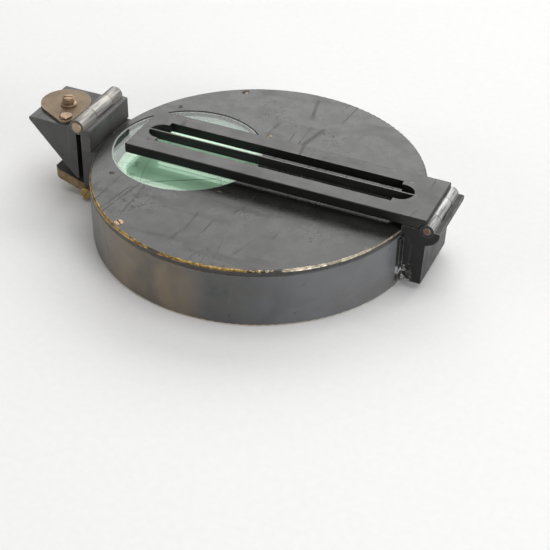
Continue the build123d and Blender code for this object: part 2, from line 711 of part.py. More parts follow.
with BuildPart() as prism_box:
    with BuildSketch(at_y(B_W)):
        Polygon([(B_X1, B_Z1), (B_X0, B_Z1), P1, P2, (B_X1, 7.5)], align=None)
    extrude(amount=2 * B_W)
    chamfer(prism_box.faces().sort_by(Axis.Z)[-1].edges().filter_by(Axis.Y).sort_by(Axis.X)[0], length=0.25)
    # cavity for the glass
    with BuildSketch(at_y(B_W - T_BOX)):
        Polygon([(B_X1 - T_BOX, B_Z1 - T_BOX), (P1[0] + 1.0, B_Z1 - T_BOX), back(1.25, T_BOX), back(25.2, T_BOX), (B_X1 - T_BOX, back(25.2, T_BOX)[1])], align=None)
    extrude(amount=2 * (B_W - T_BOX), mode=Mode.SUBTRACT)
    # the back is open, closed by its own plate
    with BuildSketch(at_y(B_W - T_BOX)):
        Polygon([back(1.25, -1), back(25.25, -1), back(25.25, T_BOX + 0.1), back(1.25, T_BOX + 0.1)], align=None)
    extrude(amount=2 * (B_W - T_BOX), mode=Mode.SUBTRACT)
    # reading lens opening in the top and eye slot in the inner wall
    with BuildSketch(Plane.XY.offset(20)):
        with Locations((-75.0, 0)):
            Circle(6.0)
    extrude(amount=12, mode=Mode.SUBTRACT)
    with BuildSketch(Plane.YZ.offset(-67.0)):
        with Locations((0, 20.0)):
            Circle(3.2)
        with Locations((0, 14.2)):
            Rectangle(1.4, 9.0)
    extrude(amount=3.5, mode=Mode.SUBTRACT)
    # cover screw
    with BuildSketch(Plane.XY.offset(20)):
        with Locations((CS_X, CS_Y)):
            Circle(0.82)
    extrude(amount=12, mode=Mode.SUBTRACT)
    # hollows that clear the slide's knuckles
    with BuildSketch(at_y(20)):
        with Locations((PH_X, PH_Z)):
            Circle(PH_R + GAP)
    extrude(amount=40, mode=Mode.SUBTRACT)
    # its own knuckle
    with BuildSketch(at_y(PK1)):
        with Locations((PH_X, PH_Z)):
            Circle(PH_R)
        with Locations(((-65.9 + PH_X) / 2, (26.65 + PH_Z) / 2)):
            Rectangle(PH_X + 65.9, PH_Z - 26.65)
    extrude(amount=PK1 - PK0)
    with BuildSketch(at_y(20)):
        with Locations((PH_X, PH_Z)):
            Circle(PH_PIN + 0.05)
    extrude(amount=40, mode=Mode.SUBTRACT)
    # side screws that hold the glass
    with BuildSketch(at_y(20)):
        with Locations((-71.2, 15.6)):
            Circle(0.52)
    extrude(amount=40, mode=Mode.SUBTRACT)
prism_box.part.label = "prism_box"
export_step(prism_box.part, "parts/prism_box.step")

with BuildPart() as prism_back_plate:
    with BuildSketch(at_y(B_W - T_BOX - 0.05)):
        Polygon([back(1.3, 0), back(25.2, 0), back(25.2, T_BOX), back(1.3, T_BOX)], align=None)
    extrude(amount=2 * (B_W - T_BOX - 0.05))
prism_back_plate.part.label = "prism_back_plate"
export_step(prism_back_plate.part, "parts/prism_back_plate.step")

with BuildPart() as prism_side_screws:
    for y, d in ((-B_W - 0.12, 1), (B_W + 0.12, -1)):
        with BuildSketch(Plane(origin=(-71.2, y, 15.6), x_dir=(1, 0, 0), z_dir=(0, d, 0))):
            Circle(0.5)
        extrude(amount=T_BOX + 0.1)
prism_side_screws.part.label = "prism_side_screws"
export_step(prism_side_screws.part, "parts/prism_side_screws.step")

ZP = B_Z1 - T_BOX - 0.1
XP = B_X1 - T_BOX - 0.1
TOFF = T_BOX + 0.1
t_top = (P1[1] + TOFF * NZ - ZP) / -DZ
t_low = (XP - P1[0] - TOFF * NX) / DX
with BuildPart() as prism:
    with BuildSketch(at_y(B_W - T_BOX - 0.1)):
        Polygon([(XP, ZP), back(t_top, TOFF), back(t_low, TOFF)], align=None)
    extrude(amount=2 * (B_W - T_BOX - 0.1))
    chamfer(prism.edges().filter_by(Axis.Y).sort_by(Axis.X)[0], length=0.5)
    chamfer(prism.edges().filter_by(Axis.Y).sort_by(Axis.Z)[0], length=0.5)
prism.part.label = "prism"
export_step(prism.part, "parts/prism.step")

# ---------------------------------------------------------------- cover plate
with BuildPart() as cover_plate:
    with BuildSketch(Plane.XY.offset(B_Z1 + 0.15)):
        with Locations((CP_X, CP_Y)):
            Circle(CP_R)
        with Locations((CS_X, CS_Y)):
            Circle(CS_R)
        make_hull()
        with Locations((CS_X, CS_Y)):
            Circle(0.85, mode=Mode.SUBTRACT)
        with Locations((KN_X, KN_Y)):
            Circle(0.96, mode=Mode.SUBTRACT)
    extrude(amount=0.8)
cover_plate.part.label = "cover_plate"
export_step(cover_plate.part, "parts/cover_plate.step")

with BuildPart() as cover_screw:
    with BuildSketch(Plane.XY.offset(B_Z1 - T_BOX + 0.02)):
        with Locations((CS_X, CS_Y)):
            Circle(0.8)
    extrude(amount=2.3)
    with BuildSketch(Plane.XY.offset(29.25)):
        with Locations((CS_X, CS_Y)):
            Circle(2.2)
    extrude(amount=0.7)
    fillet(cover_screw.faces().sort_by(Axis.Z)[-1].edges(), radius=0.35)
    with BuildSketch(Plane(origin=(CS_X, CS_Y, 29.6), x_dir=(-0.51, 0.86, 0), z_dir=(0, 0, 1))):
        Rectangle(5, 0.5)
    extrude(amount=1.0, mode=Mode.SUBTRACT)
cover_screw.part.label = "cover_screw"
export_step(cover_screw.part, "parts/cover_screw.step")

with BuildPart() as cover_knob:
    with BuildSketch(Plane(origin=(KN_X, KN_Y, 0), x_dir=(1, 0, 0), z_dir=(0, -1, 0))):
        Polygon([(0, 28.4), (0.95, 28.4), (0.95, 29.15), (2.8, 29.15), (2.85, 29.25), (2.85, 29.8), (2.6, 30.05), (2.1, 30.15),
                 (1.85, 30.3), (1.85, 30.6), (2.2, 30.8), (2.2, 31.2), (2.05, 31.32), (2.2, 31.44), (2.2, 31.9), (1.8, 32.3), (1.1, 32.4), (0, 32.4)], align=None)
    revolve(axis=Axis((KN_X, KN_Y, 0), (0, 0, 1)))
    with BuildSketch(Plane(origin=(KN_X, KN_Y, 31.7), x_dir=(0.9, 0.43, 0), z_dir=(0, 0, 1))):
        Rectangle(5, 0.6)
    extrude(amount=1.0, mode=Mode.SUBTRACT)
cover_knob.part.label = "cover_knob"
export_step(cover_knob.part, "parts/cover_knob.step")
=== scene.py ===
import bpy, bmesh, math, random
from mathutils import Vector, Matrix


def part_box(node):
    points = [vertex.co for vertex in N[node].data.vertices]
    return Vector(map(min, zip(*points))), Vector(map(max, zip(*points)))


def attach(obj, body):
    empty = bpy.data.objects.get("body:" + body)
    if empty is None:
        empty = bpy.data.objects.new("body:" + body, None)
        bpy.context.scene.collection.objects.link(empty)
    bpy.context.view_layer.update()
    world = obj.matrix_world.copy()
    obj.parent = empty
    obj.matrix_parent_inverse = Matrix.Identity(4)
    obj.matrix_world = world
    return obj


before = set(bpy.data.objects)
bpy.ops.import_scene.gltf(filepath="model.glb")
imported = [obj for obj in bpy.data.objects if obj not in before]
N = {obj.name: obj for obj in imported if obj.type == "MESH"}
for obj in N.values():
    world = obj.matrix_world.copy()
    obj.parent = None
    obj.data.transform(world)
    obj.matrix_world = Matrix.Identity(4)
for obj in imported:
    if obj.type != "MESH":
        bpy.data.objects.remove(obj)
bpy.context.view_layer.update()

random.seed(7)

# ------------------------------------------------------------------ camera
AZ, EL, ROLL = 0.4111, 0.6433, 0.0206
CAM_AT = Vector((0.157752, -0.346288, 0.262412))
back = Vector((math.sin(AZ) * math.cos(EL), -math.cos(AZ) * math.cos(EL), math.sin(EL)))
fwd = -back
right = fwd.cross(Vector((0, 0, 1))).normalized()
up = right.cross(fwd)
r2 = right * math.cos(ROLL) + up * math.sin(ROLL)
u2 = up * math.cos(ROLL) - right * math.sin(ROLL)
cam_data = bpy.data.cameras.new("camera")
cam = bpy.data.objects.new("camera", cam_data)
bpy.context.scene.collection.objects.link(cam)
m = Matrix((r2, u2, back)).transposed().to_4x4()
m.translation = CAM_AT
cam.matrix_world = m
cam_data.lens = 86.13
cam_data.sensor_width = 36.0
cam_data.clip_start = 0.01
cam_data.clip_end = 20
bpy.context.scene.camera = cam

# ------------------------------------------------------------------ light
scene = bpy.context.scene
scene.view_settings.view_transform = "Standard"
scene.view_settings.look = "None"
world = bpy.data.worlds.new("studio")
scene.world = world
world.use_nodes = True
wn = world.node_tree
wn.nodes.clear()
wo = wn.nodes.new("ShaderNodeOutputWorld")
wb = wn.nodes.new("ShaderNodeBackground")
wb.inputs["Strength"].default_value = 0.95
wc = wn.nodes.new("ShaderNodeTexCoord")
wsep = wn.nodes.new("ShaderNodeSeparateXYZ")
wn.links.new(wc.outputs["Generated"], wsep.inputs[0])


def world_range(out, lo, hi, a, b):
    n = wn.nodes.new("ShaderNodeMapRange")
    n.interpolation_type = "SMOOTHSTEP"
    for key, v in (("From Min", lo), ("From Max", hi), ("To Min", a), ("To Max", b)):
        n.inputs[key].default_value = v
    wn.links.new(out, n.inputs["Value"])
    return n.outputs["Result"]


# a pale room: brightest low at the back, darker overhead and behind the viewer
w1 = world_range(wsep.outputs["Z"], 0.48, 0.74, 1.0, 0.42)
w2 = world_range(wsep.outputs["Y"], -0.60, 0.50, 0.22, 1.0)
w3 = world_range(wsep.outputs["X"], -0.60, -0.12, 0.30, 1.0)
wm0 = wn.nodes.new("ShaderNodeMath")
wm0.operation = "MULTIPLY"
wn.links.new(w1, wm0.inputs[0])
wn.links.new(w3, wm0.inputs[1])
wm = wn.nodes.new("ShaderNodeMath")
wm.operation = "MULTIPLY"
wn.links.new(wm0.outputs[0], wm.inputs[0])
wn.links.new(w2, wm.inputs[1])
wcol = wn.nodes.new("ShaderNodeCombineColor")
for i in range(3):
    wn.links.new(wm.outputs[0], wcol.inputs[i])
wn.links.new(wcol.outputs[0], wb.inputs["Color"])
wn.links.new(wb.outputs[0], wo.inputs["Surface"])


def area(name, at, look, size, size_y, power, colour=(1, 1, 1)):
    d = bpy.data.lights.new(name, "AREA")
    d.shape = "RECTANGLE"
    d.size, d.size_y, d.energy, d.color = size, size_y, power, colour
    o = bpy.data.objects.new(name, d)
    scene.collection.objects.link(o)
    o.location = at
    o.rotation_mode = "QUATERNION"
    o.rotation_quaternion = (Vector(look) - Vector(at)).to_track_quat("-Z", "Y")
    return o


area("soft_back", (-0.12, 0.95, 0.74), (0, 0, 0), 1.4, 0.7, 6.9, (1.0, 1.0, 0.99))
area("soft_top", (0.10, 0.05, 1.3), (0, 0, 0), 1.0, 1.0, 6.0, (1.0, 0.995, 0.98))
area("soft_left", (-0.85, -0.60, 0.35), (0, 0, 0.01), 0.5, 0.5, 2.4, (1.0, 0.99, 0.97))
area("soft_right", (0.92, -0.42, 0.30), (0.02, 0, 0.01), 0.5, 0.4, 5.5, (0.98, 0.99, 1.0))

# floor
bm = bmesh.new()
bmesh.ops.create_grid(bm, x_segments=2, y_segments=2, size=3.0)
fm = bpy.data.meshes.new("floor")
bm.to_mesh(fm)
bm.free()
floor = bpy.data.objects.new("floor", fm)
scene.collection.objects.link(floor)
floor.location = (0, 0, -0.0002)


# ------------------------------------------------------------------ node helpers
class Mat:
    """Small helper that builds a node material in object space (metres)."""

    def __init__(self, name):
        self.m = bpy.data.materials.new(name)
        self.m.use_nodes = True
        self.t = self.m.node_tree
        self.t.nodes.clear()
        self.out = self.t.nodes.new("ShaderNodeOutputMaterial")
        self.b = self.t.nodes.new("ShaderNodeBsdfPrincipled")
        self.t.links.new(self.b.outputs[0], self.out.inputs["Surface"])
        self.co = self.t.nodes.new("ShaderNodeTexCoord").outputs["Object"]

    def link(self, a, b):
        self.t.links.new(a, b)
        return a

    def set(self, node, socket, value):
        if hasattr(value, "is_output"):
            self.t.links.new(value, node.inputs[socket])
        else:
            node.inputs[socket].default_value = value

    def math(self, op, a, b=0.0, c=None, clamp=False):
        n = self.t.nodes.new("ShaderNodeMath")
        n.operation = op
        n.use_clamp = clamp
        self.set(n, 0, a)
        self.set(n, 1, b)
        if c is not None:
            self.set(n, 2, c)
        return n.outputs[0]

    def mapped(self, scale=(1, 1, 1), rot=(0, 0, 0), loc=(0, 0, 0)):
        n = self.t.nodes.new("ShaderNodeMapping")
        n.inputs["Scale"].default_value = scale
        n.inputs["Rotation"].default_value = rot
        n.inputs["Location"].default_value = loc
        self.link(self.co, n.inputs["Vector"])
        return n.outputs[0]

    def noise(self, scale, detail=3.0, rough=0.55, co=None, dist=0.0):
        n = self.t.nodes.new("ShaderNodeTexNoise")
        n.inputs["Scale"].default_value = scale
        n.inputs["Detail"].default_value = detail
        n.inputs["Roughness"].default_value = rough
        n.inputs["Distortion"].default_value = dist
        self.link(co if co is not None else self.co, n.inputs["Vector"])
        return n.outputs["Fac"]

    def warp(self, amount, scale):
        """Object coordinates pushed about by noise, so that cell edges wander."""
        n = self.t.nodes.new("ShaderNodeTexNoise")
        n.inputs["Scale"].default_value = scale
        n.inputs["Detail"].default_value = 3.0
        self.link(self.co, n.inputs["Vector"])
        sub = self.t.nodes.new("ShaderNodeVectorMath")
        sub.operation = "SUBTRACT"
        self.link(n.outputs["Color"], sub.inputs[0])
        sub.inputs[1].default_value = (0.5, 0.5, 0.5)
        mad = self.t.nodes.new("ShaderNodeVectorMath")
        mad.operation = "MULTIPLY_ADD"
        self.link(sub.outputs[0], mad.inputs[0])
        mad.inputs[1].default_value = (amount * 2, amount * 2, amount * 2)
        self.link(self.co, mad.inputs[2])
        return mad.outputs[0]

    def normal_part(self, i):
        n = self.t.nodes.new("ShaderNodeSeparateXYZ")
        g = self.t.nodes.new("ShaderNodeTexCoord")
        self.link(g.outputs["Normal"], n.inputs[0])
        return n.outputs[i]

    def normal_z(self):
        return self.normal_part(2)

    def voronoi(self, scale, feature="F1", co=None, rnd=1.0, out="Distance"):
        n = self.t.nodes.new("ShaderNodeTexVoronoi")
        n.feature = feature
        n.inputs["Scale"].default_value = scale
        n.inputs["Randomness"].default_value = rnd
        self.link(co if co is not None else self.co, n.inputs["Vector"])
        return n.outputs[out]

    def ramp(self, fac, lo, hi, a=0.0, b=1.0):
        n = self.t.nodes.new("ShaderNodeMapRange")
        n.interpolation_type = "SMOOTHSTEP"
        n.inputs["From Min"].default_value = lo
        n.inputs["From Max"].default_value = hi
        n.inputs["To Min"].default_value = a
        n.inputs["To Max"].default_value = b
        self.set(n, "Value", fac)
        return n.outputs["Result"]

    def mix(self, fac, a, b):
        n = self.t.nodes.new("ShaderNodeMix")
        n.data_type = "RGBA"
        self.set(n, "Factor", fac)
        for i, v in ((6, a), (7, b)):
            if hasattr(v, "is_output"):
                self.t.links.new(v, n.inputs[i])
            else:
                n.inputs[i].default_value = (*v, 1)
        return n.outputs[2]

    def mixf(self, fac, a, b):
        n = self.t.nodes.new("ShaderNodeMix")
        n.data_type = "FLOAT"
        self.set(n, "Factor", fac)
        self.set(n, 2, a)
        self.set(n, 3, b)
        return n.outputs[0]

    def xyz(self):
        n = self.t.nodes.new("ShaderNodeSeparateXYZ")
        self.link(self.co, n.inputs[0])
        return n.outputs[0], n.outputs[1], n.outputs[2]

    def edge(self, radius, lo=0.01, hi=0.16, samples=6):
        """1 along sharp edges, by how far a bevelled normal leans from the face's own."""
        bv = self.t.nodes.new("ShaderNodeBevel")
        bv.samples = samples
        bv.inputs["Radius"].default_value = radius
        g = self.t.nodes.new("ShaderNodeNewGeometry")
        d = self.t.nodes.new("ShaderNodeVectorMath")
        d.operation = "DOT_PRODUCT"
        self.link(bv.outputs[0], d.inputs[0])
        self.link(g.outputs["Normal"], d.inputs[1])
        return self.ramp(self.math("SUBTRACT", 1.0, d.outputs["Value"]), lo, hi)

    def bump(self, height, strength, distance, normal=None):
        n = self.t.nodes.new("ShaderNodeBump")
        n.inputs["Strength"].default_value = strength
        n.inputs["Distance"].default_value = distance
        self.link(height, n.inputs["Height"])
        if normal is not None:
            self.link(normal, n.inputs["Normal"])
        return n.outputs[0]

    def use(self, colour=None, rough=None, metal=None, normal=None):
        for s, v in (("Base Color", colour), ("Roughness", rough), ("Metallic", metal), ("Normal", normal)):
            if v is not None:
                if s == "Base Color" and not hasattr(v, "is_output"):
                    v = (*v, 1)
                self.set(self.b, s, v)
        return self.m

    def near_axis(self, x0, z0, r):
        """1 inside radius r of the line along Y through x0, z0."""
        x, y, z = self.xyz()
        dx = self.math("SUBTRACT", x, x0)
        dz = self.math("SUBTRACT", z, z0)
        d = self.math("SQRT", self.math("ADD", self.math("MULTIPLY", dx, dx), self.math("MULTIPLY", dz, dz)))
        return self.ramp(d, r - 0.00012, r + 0.00012, 1.0, 0.0), d

    def radial(self):
        x, y, z = self.xyz()
        return self.math("SQRT", self.math("ADD", self.math("MULTIPLY", x, x), self.math("MULTIPLY", y, y))), x, y, z


BRASS = (0.60, 0.43, 0.20)
BRASS_DARK = (0.34, 0.23, 0.10)
GREY_METAL = (0.40, 0.39, 0.37)


def scratches(mt, scale=60.0, lo=0.0, hi=0.018):
    """Long thin random lines: cells of a stretched voronoi seen edge on."""
    outs = []
    for rot, sc in ((0.5, 1.0), (2.2, 1.35), (1.25, 0.8)):
        v = mt.voronoi(scale * sc, "DISTANCE_TO_EDGE", mt.mapped((1.0, 0.09, 0.5), (0, 0, rot)))
        gate = mt.ramp(mt.noise(scale * 0.6, 2.0, co=mt.mapped(loc=(rot, 0, 0))), 0.56, 0.66)
        outs.append(mt.math("MULTIPLY", mt.ramp(v, lo, hi, 1.0, 0.0), gate))
    return mt.math("MAXIMUM", mt.math("MAXIMUM", outs[0], outs[1]), outs[2])


def lacquer(name, base, rough=0.3, wear=0.5, edge_r=0.00045, grey=None, hinge=None, pits=1.0, brass=BRASS, edge_metal=None, crackle=0.6):
    """Black lacquer on brass: mottled, scratched, pitted and rubbed through along the edges."""
    mt = Mat(name)
    big = mt.noise(22.0, 4.0, 0.6)
    mid = mt.noise(160.0, 4.0, 0.6)
    fine = mt.noise(1500.0, 3.0, 0.6)
    rub = mt.noise(34.0, 4.0, 0.62, co=mt.mapped((1.0, 3.4, 1.0), (0, 0, 0.22)), dist=0.5)
    col = mt.mix(mt.ramp(big, 0.3, 0.7), tuple(c * 0.75 for c in base), tuple(c * 1.3 for c in base))
    col = mt.mix(mt.ramp(mid, 0.35, 0.75, 0.0, 0.4), col, tuple(c * 1.8 for c in base))
    col = mt.mix(mt.ramp(rub, 0.52, 0.72, 0.0, 0.6), col, tuple(c * 0.35 for c in base))
    # fine crackle, only here and there
    web = None
    if crackle:
        web = mt.voronoi(460.0, "DISTANCE_TO_EDGE", mt.warp(0.0020, 260.0))
        web = mt.ramp(web, 0.012, 0.05, 1.0, 0.0)
        web = mt.math("MULTIPLY", web, mt.ramp(mt.noise(520.0, 2.0, 0.5), 0.44, 0.60))
        web = mt.math("MULTIPLY", web, mt.ramp(mt.noise(48.0, 4.0, 0.65), 0.54, 0.64), clamp=True)
        web = mt.math("MULTIPLY", web, crackle)
        col = mt.mix(mt.math("MULTIPLY", web, 0.8), col, (0.006, 0.006, 0.006))
    sc = scratches(mt)
    col = mt.mix(mt.math("MULTIPLY", sc, 0.30), col, (0.16, 0.15, 0.14))
    pit = mt.ramp(mt.voronoi(420.0), 0.05, 0.12, 1.0, 0.0)
    gate = mt.ramp(mt.noise(75.0, 3.0), 0.54, 0.68)
    pit = mt.math("MULTIPLY", mt.math("MULTIPLY", pit, gate), pits)
    col = mt.mix(mt.math("MULTIPLY", pit, 0.7), col, (0.008, 0.008, 0.008))
    # rubbed edges
    e = mt.edge(edge_r)
    chip = mt.ramp(mt.math("ADD", mt.math("MULTIPLY", mt.noise(420.0, 5.0, 0.7), 0.6), mt.math("MULTIPLY", big, 0.5)), 0.56 - 0.14 * wear, 0.72 - 0.16 * wear)
    worn = mt.math("MULTIPLY", e, chip, clamp=True)
    worn = mt.math("MULTIPLY", worn, min(1.0, wear * 1.6), clamp=True)
    near = None
    if hinge:
        near, d = mt.near_axis(*hinge)
        streak = mt.noise(900.0, 4.0, 0.6, co=mt.mapped((1, 0.10, 1)))
        near = mt.math("MULTIPLY", near, mt.ramp(streak, 0.34, 0.60, 0.25, 1.0), clamp=True)
        flank = mt.ramp(mt.math("ABSOLUTE", mt.normal_part(1)), 0.5, 0.85, 1.0, 0.06)
        near = mt.math("MULTIPLY", near, flank, clamp=True)
    metal = worn
    edge_col = mt.mix(mt.ramp(fine, 0.3, 0.7), tuple(c * 0.75 for c in (edge_metal or brass)), edge_metal or brass)
    col = mt.mix(worn, col, edge_col)
    if near is not None:
        col = mt.mix(near, col, grey or GREY_METAL)
        metal = mt.math("MAXIMUM", metal, mt.math("MULTIPLY", near, 0.75))
    rg = mt.ramp(mid, 0.3, 0.75, rough - 0.04, rough + 0.08)
    rg = mt.mixf(mt.ramp(rub, 0.50, 0.72, 0.0, 0.5), rg, rough + 0.16)
    marks = mt.math("MAXIMUM", sc, pit, clamp=True)
    if web is not None:
        marks = mt.math("MAXIMUM", marks, web, clamp=True)
    rg = mt.mixf(marks, rg, 0.6)
    rg = mt.mixf(metal, rg, 0.38)
    h = mt.math("ADD", mt.math("MULTIPLY", fine, 0.22), mt.math("MULTIPLY", mid, 0.45))
    h = mt.math("SUBTRACT", h, mt.math("MULTIPLY", pit, 1.2))
    if web is not None:
        h = mt.math("SUBTRACT", h, mt.math("MULTIPLY", web, 0.9))
    h = mt.math("SUBTRACT", h, mt.math("MULTIPLY", sc, 0.25))
    h = mt.math("SUBTRACT", h, mt.math("MULTIPLY", worn, 0.5))
    nm = mt.bump(h, 0.35, 0.00006)
    return mt, col, rg, metal, nm


def finish_lacquer(args, spec=0.55):
    mt, col, rg, metal, nm = args
    mt.b.inputs["Specular IOR Level"].default_value = spec
    return mt.use(col, rg, metal, nm)


def mid_noise(mt):
    return mt.noise(70.0, 5.0, 0.65, co=mt.mapped(loc=(0.7, 0.2, 0.4)))


def case_material(name, base, rough, top):
    """Lacquer with the drum's own wear: rubbed to brass along the lid's rim and the base's rim, the rim band painted
    pale as a highlight on the right and far left, and a painted sheen on the drum's right side.
    """
    mt, col, rg, metal, nm = lacquer(name, base, rough, wear=0.25, crackle=0.75 if top else 0.0)
    r, x, y, z = mt.radial()
    ang = mt.math("ARCTAN2", y, x)                     # -pi..pi, 0 at the vane hinge
    n1 = mt.noise(55.0, 4.0, 0.7)
    n2 = mt.noise(380.0, 5.0, 0.75)
    n3 = mt.noise(30.0, 3.0, 0.6, co=mt.mapped(loc=(0.3, 0.1, 0)))
    ragged = mt.math("ADD", mt.math("MULTIPLY", mt.math("SUBTRACT", n1, 0.5), 0.0016), mt.math("MULTIPLY", mt.math("SUBTRACT", n2, 0.5), 0.0010))
    # the side that was carried outward is rubbed most; towards the vane hinge the band narrows, and there and at the
    # far left it is painted pale as a highlight
    front = mt.math("MULTIPLY", mt.ramp(ang, -2.95, -2.45, 0.12, 1.0), mt.ramp(ang, -1.0, -0.35, 1.0, 0.62))
    back = mt.ramp(y, 0.0, 0.02, 1.0, 0.25)
    front = mt.math("MULTIPLY", front, back)
    # painted highlight: the rim colour turns pale and silvery on the right and far left, standing in for light caught
    # along the rim
    painted_rim_highlight = mt.math("MAXIMUM", mt.ramp(ang, -1.25, -0.95), mt.ramp(ang, -2.85, -2.65, 1.0, 0.0))
    rim_lo = mt.mix(painted_rim_highlight, (0.10, 0.055, 0.018), (0.20, 0.17, 0.12))
    rim_hi = mt.mix(painted_rim_highlight, (0.50, 0.33, 0.11), (0.62, 0.55, 0.42))
    if top:
        # distance from the lid's top corner, measured along both faces
        dr = mt.math("MAXIMUM", mt.math("SUBTRACT", 0.0575, r), 0.0)
        dz = mt.math("MAXIMUM", mt.math("SUBTRACT", 0.02155, z), 0.0)
        d = mt.math("MAXIMUM", mt.math("MULTIPLY", dr, 1.25), mt.math("MULTIPLY", dz, 1.35))
        width = mt.math("MULTIPLY_ADD", front, 0.00074, 0.00014)
    else:
        up_rim = mt.math("SUBTRACT", 0.01955, z)
        # only the corner where the strap lay has gone through at the joint under the lid
        here = mt.math("MULTIPLY", mt.ramp(ang, -2.75, -2.60), mt.ramp(ang, -2.20, -2.00, 1.0, 0.0))
        joint = mt.math("ADD", mt.math("ABSOLUTE", up_rim), mt.math("MULTIPLY_ADD", here, -0.0009, 0.0010))
        d = mt.math("MINIMUM", mt.math("ADD", mt.math("MAXIMUM", z, 0.0), 0.00005), joint)
        width = mt.math("MULTIPLY_ADD", front, 0.00034, 0.00006)
    gate = mt.ramp(r, 0.0560, 0.0563)
    lim = mt.math("ADD", width, mt.math("MULTIPLY", ragged, mt.math("MULTIPLY_ADD", front, 0.7, 0.3)))
    rub = mt.ramp(mt.math("SUBTRACT", d, lim), -0.00010, 0.00014, 1.0, 0.0)
    rub = mt.math("MULTIPLY", rub, gate, clamp=True)
    # places where the lacquer still holds
    rub = mt.math("MULTIPLY", rub, mt.ramp(mt.math("MULTIPLY_ADD", n2, 0.45, mt.math("MULTIPLY_ADD", n3, 0.75, mt.math("MULTIPLY", painted_rim_highlight, 0.05))), 0.51, 0.59), clamp=True)
    if top:
        g1 = mt.ramp(mt.math("ABSOLUTE", mt.math("ADD", ang, 1.757)), 0.028, 0.050, 0.85, 0.0)
        g2 = mt.ramp(mt.math("ABSOLUTE", mt.math("ADD", ang, 1.11)), 0.09, 0.14, 1.0, 0.0)
        g2 = mt.math("MULTIPLY", g2, mt.ramp(mt.noise(520.0, 4.0, 0.7), 0.42, 0.54))
        rub = mt.math("MULTIPLY", rub, mt.math("SUBTRACT", 1.0, mt.math("MAXIMUM", g1, g2)), clamp=True)
    dirt = mt.ramp(mt.noise(700.0, 4.0, 0.7), 0.30, 0.62)
    bc = mt.mix(dirt, rim_lo, rim_hi)
    if not top:
        # a brown patch at the front left; further round, a lighter bluish grey painted on the right side as sheen from
        # the right-hand light
        off = mt.math("DIVIDE", mt.math("ADD", ang, 1.88), 0.46)
        patch = mt.math("SUBTRACT", 1.0, mt.math("MULTIPLY", off, off), clamp=True)
        soft = mt.noise(38.0, 4.0, 0.6, dist=0.4)
        patch = mt.math("MULTIPLY", patch, mt.ramp(soft, 0.30, 0.56, 0.25, 1.0), clamp=True)
        col = mt.mix(mt.math("MULTIPLY", patch, 0.85), col, (0.235, 0.175, 0.105))
        # painted sheen: the drum's right side made lighter where it faces the right-hand light
        far = mt.math("MULTIPLY", mt.ramp(ang, -1.4, -0.7), mt.ramp(ang, -0.1, 0.3, 1.0, 0.0))
        far = mt.math("MULTIPLY", far, mt.ramp(mid_noise(mt), 0.25, 0.7, 0.6, 0.95))
        col = mt.mix(far, col, (0.118, 0.122, 0.130))
        stain = mt.ramp(mt.noise(26.0, 4.0, 0.6, co=mt.mapped((1, 1, 2.4))), 0.54, 0.72, 0.0, 0.45)
        col = mt.mix(stain, col, (0.085, 0.072, 0.055))
    col = mt.mix(rub, col, bc)
    metal = mt.math("MAXIMUM", metal, mt.math("MULTIPLY", rub, 0.85), clamp=True)
    rg = mt.mixf(rub, rg, 0.42)
    mt.b.inputs["Specular IOR Level"].default_value = 0.55
    return mt.use(col, rg, metal, nm)


def slide_material(name, base, rough):
    """The slide: black on top of the tongue, its sides rubbed down to brown brass."""
    mt, col, rg, metal, nm = lacquer(name, base, rough, wear=0.6, hinge=(-0.0632, 0.0294, 0.0029), grey=(0.36, 0.345, 0.32), edge_metal=(0.40, 0.36, 0.29))
    x, y, z = mt.xyz()
    low = mt.ramp(z, 0.0100, 0.0105, 1.0, 0.0)
    side = mt.ramp(mt.normal_z(), 0.45, 0.75, 1.0, 0.0)
    n1 = mt.noise(260.0, 5.0, 0.7)
    m = mt.math("MULTIPLY", mt.math("MULTIPLY", low, side), mt.ramp(n1, 0.30, 0.48, 0.45, 1.0), clamp=True)
    bc = mt.mix(mt.ramp(mt.noise(500.0, 4.0, 0.6), 0.3, 0.7), (0.16, 0.105, 0.055), (0.34, 0.235, 0.125))
    col = mt.mix(m, col, bc)
    metal = mt.math("MAXIMUM", metal, mt.math("MULTIPLY", m, 0.6), clamp=True)
    rg = mt.mixf(m, rg, 0.48)
    mt.b.inputs["Specular IOR Level"].default_value = 0.55
    return mt.use(col, rg, metal, nm)


def z0(mt):
    return mt.xyz()[2]


def vane_material(name):
    """Vane: its top carried against cloth for years and gone grey, its sides painted near-black as shade."""
    mt, col, rg, metal, nm = lacquer(name, (0.026, 0.026, 0.025), 0.33, wear=0.35, hinge=(0.0646, 0.0236, 0.00245), grey=(0.44, 0.44, 0.43), edge_metal=(0.42, 0.41, 0.38), crackle=0.2)
    nz = mt.ramp(mt.normal_z(), 0.6, 0.9)
    worn = mt.math("MULTIPLY", mt.math("MULTIPLY", nz, mt.ramp(z0(mt), 0.0262, 0.0270)), mt.ramp(mt.noise(70.0, 5.0, 0.65), 0.25, 0.75, 0.55, 1.0))
    col = mt.mix(mt.math("MULTIPLY", worn, 0.6), col, (0.068, 0.066, 0.062))
    knuckle = mt.near_axis(0.0646, 0.0236, 0.00245)[0]
    # painted shade: the side faces made near-black, darker than the lacquer, for the shade they stand in
    side = mt.math("SUBTRACT", mt.math("SUBTRACT", 1.0, nz), knuckle, clamp=True)
    col = mt.mix(mt.math("MULTIPLY", side, 0.95), col, mt.mix(mt.ramp(mt.noise(300.0), 0.3, 0.7), (0.003, 0.003, 0.003), (0.008, 0.008, 0.007)))
    rg = mt.mixf(mt.math("MULTIPLY", side, 0.8), rg, 0.5)
    # the line along the far edge
    x, y, z = mt.xyz()
    line = mt.math("ABSOLUTE", mt.math("SUBTRACT", y, 0.0112))
    line = mt.ramp(line, 0.00008, 0.00030, 1.0, 0.0)
    line = mt.math("MULTIPLY", mt.math("MULTIPLY", line, nz), mt.ramp(mt.noise(190.0, 4.0, 0.7), 0.54, 0.64, 0.0, 0.7), clamp=True)
    col = mt.mix(line, col, (0.22, 0.21, 0.18))
    mt.b.inputs["Specular IOR Level"].default_value = 0.5
    return mt.use(col, rg, metal, nm)


